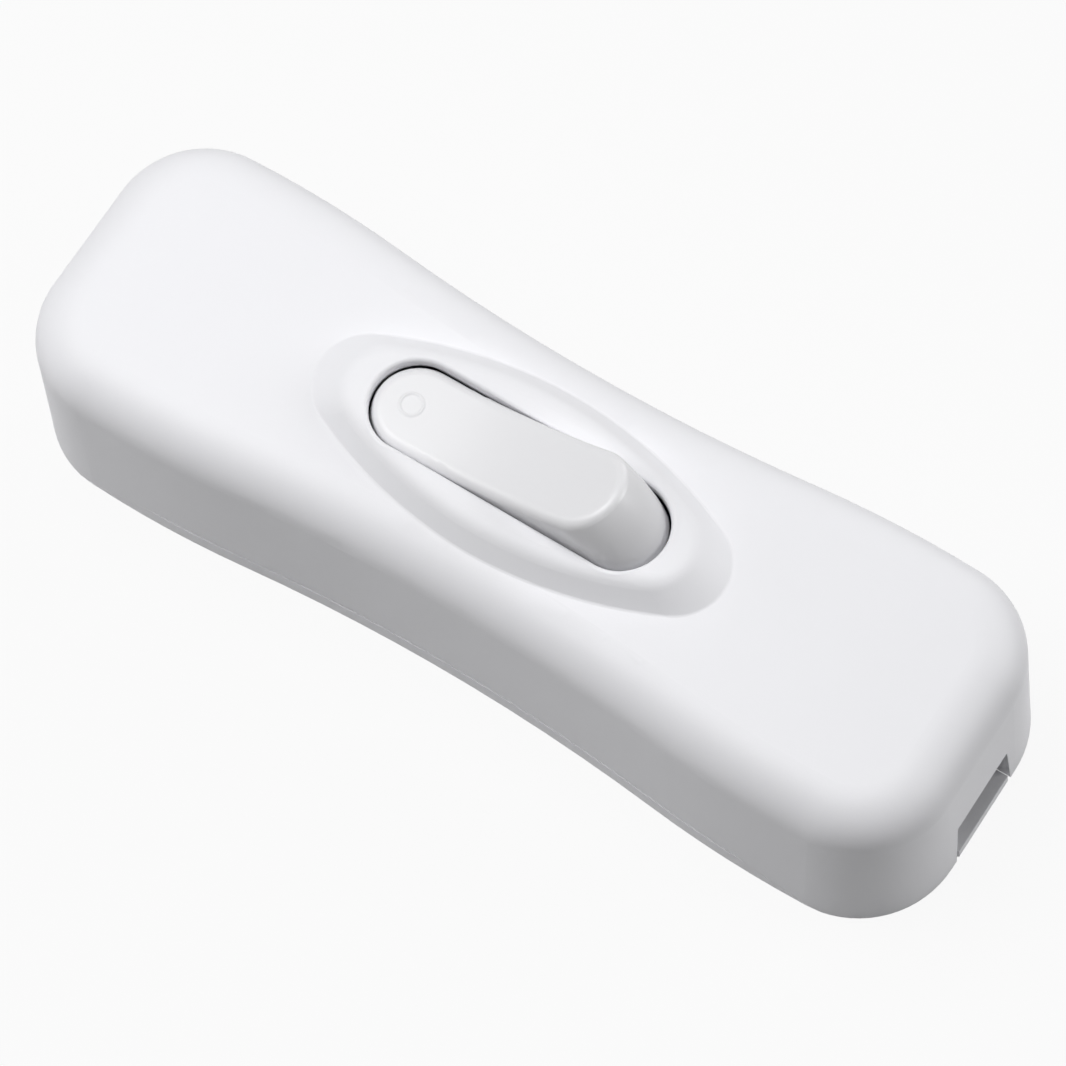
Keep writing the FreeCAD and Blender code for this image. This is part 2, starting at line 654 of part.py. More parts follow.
def make_base_cover():
    """Flat tray: an edge that shows under the side arches, a seat and lip for the cover, and posts inside."""
    body = new_body("base_cover")
    outline = new_sketch(body, "base_outline")
    draw_casing(outline, "0")
    plate = pad(body, "base_plate", outline, "base_edge", taper="-draft_angle")
    doc.recompute()
    round_edges(body, "base_round", plate, flat_edges(plate.Shape, "0"), "bottom_round")
    seat = new_sketch(body, "seat_outline", lift="base_edge")
    draw_casing(seat, "shadow_depth")
    pad(body, "cover_seat", seat, "shadow_gap")
    for side, sign_y in (("left", "-"), ("right", "")):
        relief = new_sketch(body, "end_relief_" + side, "XZ_Plane", lift=sign_y + "inlet_top_width / 2")
        for sign in SIGNS:
            draw_polygon(relief, [
                (sign + "(side_arch_foot / 2 - arch_clearance + shadow_gap * arch_slope)", "-shadow_gap"),
                (sign + "(body_length / 2 + wall_thickness)", "-shadow_gap"),
                (sign + "(body_length / 2 + wall_thickness)", "rim_level + shadow_gap"),
                (sign + "(side_arch / 2 - arch_clearance - shadow_gap * arch_slope)",
                 "rim_level + shadow_gap"),
            ])
        pocket(body, "end_relief_cut_" + side, relief, "lobe_width / 2", upwards=(side == "right"))
    tray = new_sketch(body, "floor_outline")
    draw_casing(tray, "floor_inset")
    pad(body, "floor", tray, "rim_level")
    lip = new_sketch(body, "lip_outline", lift="rim_level")
    draw_casing(lip, "lip_inset")
    draw_casing(lip, "lip_inset + lip_thickness")
    pad(body, "locating_lip", lip, "lip_height")
    for end, sign in ENDS.items():
        gate = new_sketch(body, "inlet_gate_" + end, "YZ_Plane", lift=sign + "body_length / 2")
        draw_rectangle(gate, "0", "(inlet_sill + lip_level + lip_height) / 2", "inlet_foot_width",
                       "(lip_level + lip_height - inlet_sill)")
        pocket(body, "inlet_gate_cut_" + end, gate, "lip_inset + lip_thickness + lip_clearance",
               upwards=(sign == "-"))

    ribs = new_sketch(body, "rib_plan", lift="rim_level")
    for x in ("-rib_offset", "-(switched_inner_end + rib_thickness / 2)", "rib_offset",
              "-(fulcrum_foot + fulcrum_tail / 2)", "fulcrum_foot + fulcrum_tail / 2"):
        draw_rectangle(ribs, x, "0", "rib_thickness", "rib_width")
    pad(body, "plate_ribs", ribs, "plate_level - rim_level")
    posts = new_sketch(body, "post_plan", lift="rim_level")
    for sign in SIGNS:
        for y in POLES.values():
            draw_rectangle(posts, sign + "terminal_offset", y, "post_length", "post_width")
    pad(body, "terminal_posts", posts, "plate_level - rim_level")
    barrier = new_sketch(body, "barrier_plan", lift="rim_level")
    draw_rectangle(barrier, "0", "0", "(2 * terminal_offset + post_length)", "barrier_thickness")
    pad(body, "pole_barrier", barrier, "barrier_top - rim_level")

    circle_pads = (
        ("peg_posts", "peg_offset", "pole_offset", "peg_post_radius", "plate_level - rim_level"),
        ("plate_pegs", "peg_offset", "pole_offset", "peg_radius", "plate_top - rim_level + peg_height"),
        ("clamp_bosses", "clamp_offset", "clamp_spacing / 2", "clamp_boss_radius",
         "clamp_level - rim_level"),
    )
    for name, x, y, radius, height in circle_pads:
        circles = new_sketch(body, name + "_plan", lift="rim_level")
        for sign in SIGNS:
            for side in SIGNS:
                draw_circle(circles, sign + x, side + y, radius)
        pad(body, name, circles, height)
    ridges = new_sketch(body, "cord_ridge_plan", lift="rim_level")
    bosses = new_sketch(body, "case_boss_plan", lift="rim_level")
    for sign in SIGNS:
        draw_rectangle(ridges, sign + "clamp_offset", "0", "clamp_ridge_width", "clamp_channel")
        draw_circle(bosses, sign + "case_screw_offset", "0", "case_boss_radius")
    pad(body, "cord_ridges", ridges, "clamp_ridge")
    pad(body, "case_bosses", bosses, "case_boss_rise")

    circle_cuts = (
        ("case_holes", "case_screw_radius + screw_clearance", "case_boss_top"),
        ("case_recesses", "case_head_radius + screw_clearance", "case_head_seat"),
    )
    for name, radius, depth in circle_cuts:
        circles = new_sketch(body, name + "_plan")
        for sign in SIGNS:
            draw_circle(circles, sign + "case_screw_offset", "0", radius)
        pocket(body, name, circles, depth, upwards=True)
    blind_holes = (
        ("clamp_holes", "clamp_offset", "clamp_spacing / 2", "clamp_level", "clamp_screw_radius + screw_fit",
         "clamp_screw_length - clamp_thickness + screw_clearance"),
        ("terminal_holes", "terminal_offset", "pole_offset", "plate_level",
         "terminal_screw_radius + screw_clearance",
         "terminal_screw_length - clamp_plate_thickness - plate_thickness + screw_clearance"),
    )
    for name, x, y, level, radius, depth in blind_holes:
        circles = new_sketch(body, name + "_plan", lift=level)
        for sign in SIGNS:
            for side in SIGNS:
                draw_circle(circles, sign + x, side + y, radius)
        pocket(body, name, circles, depth)
    return body


# Rocker and what is sprung in it

def make_rocker():
    """Moulded rocker about its own pivot: a dished key, a hub with two bores, and pivot pins.

    The key is cut from a wheel about the pivot, so that its ends pass the window at the same gap all the way.
    """
    body = new_body("rocker")
    tread = new_sketch(body, "key_section")
    draw_tread(tread, "rocker_radius", "rocker_width / 2")
    wheel = body.newObject("PartDesign::Revolution", "key_wheel")
    wheel.Profile = tread
    wheel.ReferenceAxis = (tread, ["V_Axis"])
    wheel.Angle = 360
    trim = new_sketch(body, "key_trim", "XZ_Plane")
    draw_circle(trim, "0", "rocker_top + rocker_dish", "rocker_dish")
    draw_rectangle(trim, "0", "(rocker_foot - rocker_radius - rocker_skin) / 2",
                   "2 * (rocker_radius + rocker_skin)", "(rocker_foot + rocker_radius + rocker_skin)")
    key = pocket(body, "key", trim, "rocker_width + rocker_skin", both_ways=True)
    doc.recompute()
    round_edges(body, "key_edge", key, rim_edges(key.Shape, "rocker_dish"), "rocker_edge_round")
    hollows = new_sketch(body, "key_hollow_plan", lift="rocker_foot")
    reach = "(rocker_radius - rocker_width / 2 + rocker_skin / 2 - hub_length / 2)"
    for sign in SIGNS:
        draw_rectangle(hollows, "%s(hub_length + %s) / 2" % (sign, reach), "0", reach,
                       "(rocker_width - 2 * rocker_skin)")
    pocket(body, "key_hollows", hollows, "rocker_top - rocker_foot - rocker_skin", upwards=True)
    hub = new_sketch(body, "hub_plan", lift="-hub_drop")
    draw_rectangle(hub, "0", "0", "hub_length", "hub_width")
    pad(body, "hub", hub, "hub_drop + hub_top")
    pins = new_sketch(body, "pin_circle", "XZ_Plane")
    draw_circle(pins, "0", "0", "pivot_radius")
    pad(body, "pivot_pins", pins, "2 * pin_reach", both_ways=True)
    bores = new_sketch(body, "bore_circles", lift="-hub_drop")
    for y in POLES.values():
        draw_circle(bores, "0", y, "bore_radius")
    pocket(body, "plunger_bores", bores, "bore_depth", upwards=True)
    place(body, z="pivot_height", tilt="-rocker_tilt")
    return body


def place_in_rocker(thing, y, z):
    """Sets a piece at a place of its own in the tilted rocker."""
    rocker = FreeCAD.Placement(Vector(0, 0, measure("pivot_height")),
                               FreeCAD.Rotation(Vector(0, 1, 0), -measure("rocker_tilt")))
    thing.Placement = rocker * FreeCAD.Placement(Vector(0, measure(y), measure(z)), FreeCAD.Rotation())


def make_plunger(label, y):
    """Round pin with a domed tip, which slides in its bore and presses on the see-saw."""
    body = turn(label, [
        ("0", "0"),
        ("plunger_radius", "0"),
        ("plunger_radius", "plunger_length"),
        ("0", "plunger_length"),
    ])
    doc.recompute()
    turned = body.Tip
    tip_edges = flat_edges(turned.Shape, "0")
    round_edges(body, label + "_dome", turned, tip_edges, "plunger_radius - plunger_tip_flat")
    place_in_rocker(body, y, "plunger_tip")
    return body


def make_spring(label, y):
    """Coil spring between the plunger and the end of its bore."""
    body = new_body(label)
    sketch = new_sketch(body, label + "_wire", "XZ_Plane")
    draw_circle(sketch, "spring_radius", "0", "spring_wire / 2")
    coil = body.newObject("PartDesign::AdditiveHelix", label + "_coil")
    coil.Profile = sketch
    coil.ReferenceAxis = (sketch, ["V_Axis"])
    coil.Mode = "pitch-height-angle"
    coil.setExpression("Pitch", linked("spring_pitch"))
    coil.setExpression("Height", linked("spring_height"))
    place_in_rocker(body, y, "plunger_top + spring_play + spring_wire / 2")
    return body


# Contacts and terminals

def make_seesaw(label, y):
    """Contact strip about its fulcrum line, necked between the ears that hold it."""
    body = new_body(label)
    plan = new_sketch(body, label + "_plan", lift="seesaw_gap")
    neck_width = "(plate_width / 2 - ear_thickness - seesaw_play)"
    neck_length = "(ear_length / 2 + 2 * seesaw_play)"
    half = "seesaw_width / 2"
    draw_polygon(plan, [
        ("-seesaw_length / 2", "-" + half), ("-" + neck_length, "-" + half),
        ("-" + neck_length, "-" + neck_width), (neck_length, "-" + neck_width),
        (neck_length, "-" + half), ("seesaw_length / 2", "-" + half),
        ("seesaw_length / 2", half), (neck_length, half),
        (neck_length, neck_width), ("-" + neck_length, neck_width),
        ("-" + neck_length, half), ("-seesaw_length / 2", half),
    ])
    strip = pad(body, label + "_strip", plan, "seesaw_thickness")
    doc.recompute()
    reach = measure("seesaw_length / 2")
    corners = ["Edge%d" % index for index, edge in enumerate(strip.Shape.Edges, start=1)
               if edge.BoundBox.ZLength > FLAT and abs(abs(edge.BoundBox.Center.x) - reach) < FLAT]
    round_edges(body, label + "_ends", strip, corners, "seesaw_corner")
    hole = new_sketch(body, label + "_hole_circle", lift="seesaw_gap + seesaw_thickness")
    draw_circle(hole, "-contact_offset", "0", "contact_shank + contact_fit")
    pocket(body, label + "_hole", hole, "seesaw_thickness")
    place(body, y=y, z="fulcrum_level", tilt="seesaw_tilt")
    return body


def make_contact_rivet(label, strip_thickness):
    """Contact rivet: head at the bottom, shank through its strip, closed head on top."""
    return turn(label, [
        ("0", "0"),
        ("contact_radius", "0"),
        ("contact_radius", "contact_head"),
        ("contact_shank", "contact_head"),
        ("contact_shank", "contact_head + " + strip_thickness),
        ("contact_clinch", "contact_head + " + strip_thickness),
        ("contact_clinch", "contact_head + %s + contact_clinch_height" % strip_thickness),
        ("0", "contact_head + %s + contact_clinch_height" % strip_thickness),
    ])


def make_moving_contact(label, y):
    """Rivet under the see-saw's rear arm, turned with the see-saw about the fulcrum line."""
    body = make_contact_rivet(label, "seesaw_thickness")
    fulcrum = FreeCAD.Placement(Vector(0, measure(y), measure("fulcrum_level")),
                                FreeCAD.Rotation(Vector(0, 1, 0), measure("seesaw_tilt")))
    seat = Vector(-measure("contact_offset"), 0, measure("seesaw_gap - contact_head"))
    body.Placement = fulcrum * FreeCAD.Placement(seat, FreeCAD.Rotation())
    return body


def make_fixed_contact(label, y):
    """The same rivet upside down, with its head on top of the switched plate."""
    body = make_contact_rivet(label, "plate_thickness")
    top = Vector(-measure("contact_offset"), measure(y), measure("plate_top + contact_head"))
    body.Placement = FreeCAD.Placement(top, FreeCAD.Rotation(Vector(1, 0, 0), 180))
    return body


def drill_plate(body, label, sign, holes):
    """Round holes through a contact plate, each given as an offset along X and a radius."""
    sketch = new_sketch(body, label + "_hole_circles", lift="plate_top")
    for offset, radius in holes:
        draw_circle(sketch, sign + offset, "0", radius)
    pocket(body, label + "_holes", sketch, "plate_thickness")


PLATE_HOLES = [
    ("terminal_offset", "terminal_screw_radius + screw_fit"),
    ("peg_offset", "peg_radius + peg_fit"),
]


def make_common_plate(label, y):
    """Folded strip: terminal tail, a ridge that the see-saw rocks on, and two ears beside the ridge."""
    body = new_body(label)
    section = new_sketch(body, label + "_section", "XZ_Plane")
    inner_foot = "(fulcrum_foot - plate_thickness / 2)"
    outer_foot = "(fulcrum_foot + fulcrum_tail)"
    draw_polygon(section, [
        ("plate_end", "plate_level"), ("plate_end", "plate_top"),
        ("fulcrum_foot", "plate_top"), ("fulcrum_ridge", "fulcrum_level"),
        ("-fulcrum_ridge", "fulcrum_level"), ("-fulcrum_foot", "plate_top"),
        ("-" + outer_foot, "plate_top"), ("-" + outer_foot, "plate_level"),
        ("-" + inner_foot, "plate_level"), ("0", "fulcrum_level - fold_thickness"),
        (inner_foot, "plate_level"),
    ])
    pad(body, label + "_strip", section, "plate_width", both_ways=True)
    ears = new_sketch(body, label + "_ear_plan", lift="plate_top")
    for side in SIGNS:
        draw_rectangle(ears, "0", side + "(plate_width / 2 - ear_thickness / 2)",
                       "ear_length", "ear_thickness")
    pad(body, label + "_ears", ears, "fulcrum_level - plate_top + ear_rise")
    drill_plate(body, label, "", PLATE_HOLES)
    place(body, y=y)
    return body


def make_switched_plate(label, y):
    """Flat strip from the fixed contact to the rear terminal."""
    body = new_body(label)
    plan = new_sketch(body, label + "_plan", lift="plate_level")
    half = "plate_width / 2"
    draw_polygon(plan, [
        ("-plate_end", "-" + half), ("-switched_inner_end", "-" + half),
        ("-switched_inner_end", half), ("-plate_end", half),
    ])
    pad(body, label + "_strip", plan, "plate_thickness")
    drill_plate(body, label, "-", PLATE_HOLES + [("contact_offset", "contact_shank + contact_fit")])
    place(body, y=y)
    return body


def make_screw(label, shank, length, head, head_height):
    """Slotted screw standing on its tip: straight shank and a flat round head."""
    body = turn(label, [
        ("0", "0"),
        (shank, "0"),
        (shank, length),
        (head, length),
        (head, "%s + %s" % (length, head_height)),
        ("0", "%s + %s" % (length, head_height)),
    ])
    slot = new_sketch(body, label + "_slot_plan", lift="%s + %s" % (length, head_height))
    draw_rectangle(slot, "0", "0", "(2 * %s + screw_slot_width)" % head, "screw_slot_width")
    pocket(body, label + "_slot", slot, "screw_slot_depth")
    return body


def make_terminal_screws():
    screws = []
    for end, sign in ENDS.items():
        for pole, y in POLES.items():
            screw = make_screw("terminal_screw_%s_%s" % (end, pole), "terminal_screw_radius",
                               "terminal_screw_length", "terminal_head_radius", "terminal_head_height")
            place(screw, sign + "terminal_offset", y, "terminal_seat - terminal_screw_length")
            screws.append(screw)
    return group("terminal_screws", screws)


def make_terminal_clamp_plates():
    """Square washers that press the wire on to the plate under each terminal screw."""
    washers = []
    for end, sign in ENDS.items():
        for pole, y in POLES.items():
            name = "clamp_plate_%s_%s" % (end, pole)
            blank = doc.addObject("Part::Box", name + "_blank")
            blank.setExpression("Length", linked("clamp_plate_length"))
            blank.setExpression("Width", linked("clamp_plate_width"))
            blank.setExpression("Height", linked("clamp_plate_thickness"))
            place(blank, "-clamp_plate_length / 2", "-clamp_plate_width / 2")
            hole = doc.addObject("Part::Cylinder", name + "_hole")
            hole.setExpression("Radius", linked("terminal_screw_radius + screw_fit"))
            hole.setExpression("Height", linked("clamp_plate_thickness"))
            washer = doc.addObject("Part::Cut", name)
            washer.Base = blank
            washer.Tool = hole
            place(washer, sign + "terminal_offset", y, "plate_top")
            washers.append(washer)
    return group("terminal_clamp_plates", washers)


# Cord clamps and the screws that hold the casing

def make_cord_clamp(label, sign):
    """Bar across the cord with a ridge below and a screw hole at each end."""
    body = new_body(label)
    plan = new_sketch(body, label + "_plan")
    draw_rectangle(plan, "0", "0", "clamp_width", "clamp_length")
    bar = pad(body, label + "_bar", plan, "clamp_thickness")
    doc.recompute()
    uprights = ["Edge%d" % index for index, edge in enumerate(bar.Shape.Edges, start=1)
                if edge.BoundBox.ZLength > FLAT]
    round_edges(body, label + "_ends", bar, uprights, "clamp_width / 2 - clamp_end_flat")
    ridge = new_sketch(body, label + "_ridge_plan", lift="-clamp_ridge")
    draw_rectangle(ridge, "0", "0", "clamp_ridge_width", "clamp_channel")
    pad(body, label + "_ridge", ridge, "clamp_ridge")
    holes = new_sketch(body, label + "_hole_circles", lift="clamp_thickness")
    for side in SIGNS:
        draw_circle(holes, "0", side + "clamp_spacing / 2", "clamp_screw_radius + screw_clearance")
    pocket(body, label + "_holes", holes, "clamp_thickness")
    place(body, x=sign + "clamp_offset", z="clamp_level")
    return body


def make_cord_clamp_screws():
    screws = []
    for end, sign in ENDS.items():
        for pole, side in (("left", ""), ("right", "-")):
            screw = make_screw("clamp_screw_%s_%s" % (end, pole), "clamp_screw_radius", "clamp_screw_length",
                               "clamp_head_radius", "clamp_head_height")
            place(screw, sign + "clamp_offset", side + "clamp_spacing / 2", "clamp_top - clamp_screw_length")
            screws.append(screw)
    return group("cord_clamp_screws", screws)


def make_case_screws():
    """Two screws driven up from below, heads sunk in the base."""
    screws = []
    for end, sign in ENDS.items():
        screw = make_screw("case_screw_" + end, "case_screw_radius", "case_screw_length",
                           "case_head_radius", "case_head_height")
        tip = Vector(measure(sign + "case_screw_offset"), 0, measure("case_head_seat + case_screw_length"))
        screw.Placement = FreeCAD.Placement(tip, FreeCAD.Rotation(Vector(1, 0, 0), 180))
        screws.append(screw)
    return group("case_screws", screws)


def make_all():
    pieces = [make_top_cover(), make_base_cover(), make_rocker()]
    for pole, y in POLES.items():
        pieces.append(make_plunger("plunger_" + pole, y))
        pieces.append(make_spring("plunger_spring_" + pole, y))
        pieces.append(make_seesaw("contact_seesaw_" + pole, y))
        pieces.append(make_moving_contact("moving_contact_" + pole, y))
        pieces.append(make_fixed_contact("fixed_contact_" + pole, y))
        pieces.append(make_common_plate("common_plate_" + pole, y))
        pieces.append(make_switched_plate("switched_plate_" + pole, y))
    pieces.append(make_terminal_screws())
    pieces.append(make_terminal_clamp_plates())
    for end, sign in ENDS.items():
        pieces.append(make_cord_clamp("cord_clamp_" + end, sign))
    pieces.append(make_cord_clamp_screws())
    pieces.append(make_case_screws())
    return pieces


def check(pieces):
    """Stops the build at the first object that failed or has no sound shape."""
    for item in doc.Objects:
        if "Invalid" in item.State or "Error" in item.State:
            raise RuntimeError("failed: %s %s" % (item.Label, item.State))
        if item.isDerivedFrom("PartDesign::Feature") and not item.Shape.isValid():
            raise RuntimeError("unsound feature: " + item.Label)
    for piece in pieces:
        if piece.Shape.isNull() or not piece.Shape.isValid():
            raise RuntimeError("unsound shape: " + piece.Label)


fill_sheet()
parts = make_all()
doc.recompute()
check(parts)
os.makedirs("parts", exist_ok=True)
for part in parts:
    part.Shape.exportStep("parts/%s.step" % part.Label)
    print("%-26s %2d solids %9.2f mm3" % (part.Label, len(part.Shape.Solids), part.Shape.Volume))
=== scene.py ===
# %% [markdown]
# # An inline cord switch, dressed for its photograph
#
# This is the small switch that sits half way along a lamp's lead: a waisted white casing in two
# shells, with a glossier rocker in a raised oval. The solids come from the CAD model and are right as
# they are, so the work here is in what the eye reads next: the finish that each piece left its mould
# or press with, the small mark on the rocker, and the light. All lengths are in metres, in the CAD
# model's own frame.

# %% Load the solids
import json
import math

import bmesh
import bpy
from mathutils import Matrix, Vector


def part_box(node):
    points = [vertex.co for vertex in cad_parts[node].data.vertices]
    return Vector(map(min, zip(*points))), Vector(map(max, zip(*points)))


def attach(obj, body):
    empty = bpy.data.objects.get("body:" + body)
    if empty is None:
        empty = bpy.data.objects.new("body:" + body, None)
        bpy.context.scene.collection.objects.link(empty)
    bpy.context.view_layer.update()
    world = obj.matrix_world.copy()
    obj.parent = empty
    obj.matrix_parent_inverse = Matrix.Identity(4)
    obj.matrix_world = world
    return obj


bpy.ops.wm.read_factory_settings(use_empty=True)
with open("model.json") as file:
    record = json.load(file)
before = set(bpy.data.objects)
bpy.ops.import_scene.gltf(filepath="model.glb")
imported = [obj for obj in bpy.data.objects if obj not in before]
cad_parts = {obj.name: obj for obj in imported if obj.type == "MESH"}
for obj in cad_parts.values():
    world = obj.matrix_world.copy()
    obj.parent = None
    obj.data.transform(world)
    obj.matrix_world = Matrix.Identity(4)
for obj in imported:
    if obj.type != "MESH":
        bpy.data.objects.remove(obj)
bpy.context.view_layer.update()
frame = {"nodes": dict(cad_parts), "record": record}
nodes = frame["nodes"]
scene = bpy.context.scene
MM = 0.001
print("CAD nodes:", len(nodes))

# %% [markdown]
# ## Colours and shader nodes
#
# Colours are written as they look on a screen, and Blender works in linear light, so one function
# turns the first into the second. Another adds a shader node with its settings and links in one call,
# and a third starts a material with the piece's own coordinates. The pieces have their real size, so a
# pattern's scale is one over the size of its grain in metres.

# %% Helpers for materials
def colour(code):
    """Linear colour of an sRGB hex code."""
    channels = [int(code[place:place + 2], 16) / 255 for place in (1, 3, 5)]
    linear = [c / 12.92 if c <= 0.04045 else ((c + 0.055) / 1.055) ** 2.4 for c in channels]
    return (*linear, 1.0)


def add(tree, kind, inputs=None, **settings):
    """Adds a shader node. An input given as another node's output is linked, and any other is set."""
    node = tree.nodes.new(kind)
    for name, value in settings.items():
        setattr(node, name, value)
    for name, value in (inputs or {}).items():
        if isinstance(value, bpy.types.NodeSocket):
            tree.links.new(value, node.inputs[name])
        else:
            node.inputs[name].default_value = value
    return node


def new_material(name):
    """Empty node material with its output, and the piece's own coordinates in metres."""
    material = bpy.data.materials.new(name)
    material.use_nodes = True
    tree = material.node_tree
    tree.nodes.clear()
    output = add(tree, "ShaderNodeOutputMaterial")
    place = add(tree, "ShaderNodeTexCoord").outputs["Object"]
    return material, tree, output, place


print("middle grey in linear light:", [round(channel, 3) for channel in colour("#808080")])

# %% [markdown]
# ## The moulded plastics
#
# Both shells and the rocker are ABS, coloured right through. The difference that the eye sees comes
# from the moulds. The casing's steel was spark eroded, which leaves thousands of tiny pits, so the
# shells look matt and spread the light evenly. The rocker's steel was polished, so it carries a soft
# gloss. The clamp bars inside are plain nylon from an unpolished mould. One function makes all three.
# It gives each plastic a faint change of tone where the melt flowed, a grain of its own size and depth,
# and a gloss that varies with the grain. Painting the grain as colour would look dirty on white, so it
# goes into the bump and the roughness alone.

# %% Moulded plastic
plastic_ior = 1.53
flow_width = 18 * MM


def moulded_plastic(name, light, dark, roughness, spread, grain, relief):
    """Opaque moulded plastic: flow tones, a grain of a given size and height, and a gloss with it."""
    material, tree, output, place = new_material(name)
    flow = add(tree, "ShaderNodeTexNoise", {"Vector": place, "Scale": 1 / flow_width, "Detail": 2.0})
    tone = add(tree, "ShaderNodeMix", {
        0: flow.outputs["Fac"], 6: colour(light), 7: colour(dark)}, data_type="RGBA")
    pits = add(tree, "ShaderNodeTexNoise", {"Vector": place, "Scale": 1 / grain, "Detail": 3.0})
    gloss = add(tree, "ShaderNodeMapRange", {
        "Value": pits.outputs["Fac"], "To Min": roughness - spread, "To Max": roughness + spread})
    bump = add(tree, "ShaderNodeBump", {
        "Height": pits.outputs["Fac"], "Distance": relief, "Strength": 1.0})
    shader = add(tree, "ShaderNodeBsdfPrincipled", {
        "Base Color": tone.outputs[2], "Roughness": gloss.outputs["Result"],
        "Normal": bump.outputs["Normal"], "IOR": plastic_ior})
    tree.links.new(shader.outputs["BSDF"], output.inputs["Surface"])
    return material


finishes = {
    # A cool matt white with no mirror image in it. Real pits are 0.03 mm wide, and here 0.16 mm, so
    # that they show.
    "casing_plastic": moulded_plastic(
        "spark_eroded_white_abs", "#f3f3f6", "#f0f0f3",
        roughness=0.55, spread=0.06, grain=0.16 * MM, relief=0.003 * MM),
    # A slightly greyer white with a soft gloss, in which the edges catch a line of light.
    "rocker_plastic": moulded_plastic(
        "polished_white_abs", "#eaeaec", "#e8e8ea",
        roughness=0.3, spread=0.04, grain=0.5 * MM, relief=0.001 * MM),
    # A dull, slightly warm white with the drag marks of a plain mould.
    "clamp_plastic": moulded_plastic(
        "moulded_white_nylon", "#e6e6e2", "#deded8",
        roughness=0.45, spread=0.08, grain=0.3 * MM, relief=0.006 * MM),
}
print("moulded plastics:", ", ".join(finishes))

# %% [markdown]
# ## Natural nylon
#
# The two plungers are nylon without any pigment. Light goes a little way into it before it comes back,
# which makes the thin edges glow and the whole piece look waxy. A pale cream colour alone reads as
# paint, so the shader scatters light below the surface, over a distance of well under a millimetre, as
# nylon does.

# %% Plunger material
def natural_nylon(name):
    """Waxy cream plastic that lets some light in, with turning marks from the tool that trimmed it."""
    cloud_width = 1.2 * MM
    mark_spacing = 0.15 * MM
    # A wave texture of scale 1 repeats about every 0.3 units.
    wave_length = 0.3
    material, tree, output, place = new_material(name)
    cloud = add(tree, "ShaderNodeTexNoise", {"Vector": place, "Scale": 1 / cloud_width, "Detail": 2.0})
    tone = add(tree, "ShaderNodeMix", {
        0: cloud.outputs["Fac"], 6: colour("#e9e4d3"), 7: colour("#dfd8c2")}, data_type="RGBA")
    marks = add(tree, "ShaderNodeTexWave", {
        "Vector": place, "Scale": wave_length / mark_spacing, "Distortion": 0.6}, bands_direction="Z")
    bump = add(tree, "ShaderNodeBump", {
        "Height": marks.outputs["Fac"], "Distance": 0.003 * MM, "Strength": 1.0})
    gloss = add(tree, "ShaderNodeMapRange", {
        "Value": cloud.outputs["Fac"], "To Min": 0.34, "To Max": 0.46})
    shader = add(tree, "ShaderNodeBsdfPrincipled", {
        "Base Color": tone.outputs[2], "Roughness": gloss.outputs["Result"],
        "Normal": bump.outputs["Normal"], "IOR": plastic_ior, "Subsurface Weight": 0.35,
        "Subsurface Radius": (0.6, 0.5, 0.4), "Subsurface Scale": 0.5 * MM})
    tree.links.new(shader.outputs["BSDF"], output.inputs["Surface"])
    return material


finishes["plunger_plastic"] = natural_nylon("turned_natural_nylon")
print("plunger material:", finishes["plunger_plastic"].name)

# %% [markdown]
# ## Brass, silver, spring wire and plated screws
#
# The metals are only seen through the inlets, from below and with the casing off, but the switch is a
# part that someone may open. What tells them apart, besides colour, is how each was worked. Strip that
# went between rollers has fine lines along its length and a patchy brown tarnish. Drawn wire has lines
# too, only finer. Silver rivets are headed cold and keep a smooth skin with a grey bloom. Plated screws
# are tumbled in a drum, so their satin runs in no direction, and the clear passivation leaves a blue
# tint. One function covers all four: the ratio of the grain's length to its width makes it run along
# the strip or in no direction.

# %% Worked metals
def worked_metal(name, bright, dull, roughness, spread, width, length, patch):
    """Metal with a grain of a given width, drawn out along X to a length, and a tarnish in patches."""
    material, tree, output, place = new_material(name)
    along = add(tree, "ShaderNodeMapping", {
        "Vector": place, "Scale": (1 / length, 1 / width, 1 / width)})
    lines = add(tree, "ShaderNodeTexNoise", {
        "Vector": along.outputs["Vector"], "Scale": 1.0, "Detail": 4.0})
    stain = add(tree, "ShaderNodeTexNoise", {
        "Vector": place, "Scale": 1 / patch, "Detail": 5.0, "Roughness": 0.6})
    tarnish = add(tree, "ShaderNodeMapRange", {
        "Value": stain.outputs["Fac"], "From Min": 0.4, "From Max": 0.75})
    tone = add(tree, "ShaderNodeMix", {
        0: tarnish.outputs["Result"], 6: colour(bright), 7: colour(dull)}, data_type="RGBA")
    gloss = add(tree, "ShaderNodeMapRange", {
        "Value": lines.outputs["Fac"], "To Min": roughness - spread, "To Max": roughness + spread})
    bump = add(tree, "ShaderNodeBump", {
        "Height": lines.outputs["Fac"], "Distance": 0.002 * MM, "Strength": 1.0})
    shader = add(tree, "ShaderNodeBsdfPrincipled", {
        "Base Color": tone.outputs[2], "Metallic": 1.0, "Roughness": gloss.outputs["Result"],
        "Normal": bump.outputs["Normal"]})
    tree.links.new(shader.outputs["BSDF"], output.inputs["Surface"])
    return material


# Warm yellow strip with rolling lines 0.06 mm apart and brown patches a few millimetres wide.
finishes["contact_brass"] = worked_metal(
    "rolled_brass", "#dcb766", "#b08a4a",
    roughness=0.3, spread=0.1, width=0.06 * MM, length=4 * MM, patch=3 * MM)
# White metal with a smooth skin and a thin grey bloom.
finishes["contact_silver"] = worked_metal(
    "headed_silver_alloy", "#e9e6e1", "#bdb8b0",
    roughness=0.24, spread=0.06, width=0.12 * MM, length=0.12 * MM, patch=0.8 * MM)
# Dark bright wire. Its drawing lines are 0.01 mm apart, and here 0.04 mm, so that they show.
finishes["spring_steel"] = worked_metal(
    "drawn_spring_wire", "#a9aaad", "#85878b",
    roughness=0.28, spread=0.08, width=0.04 * MM, length=0.4 * MM, patch=0.6 * MM)
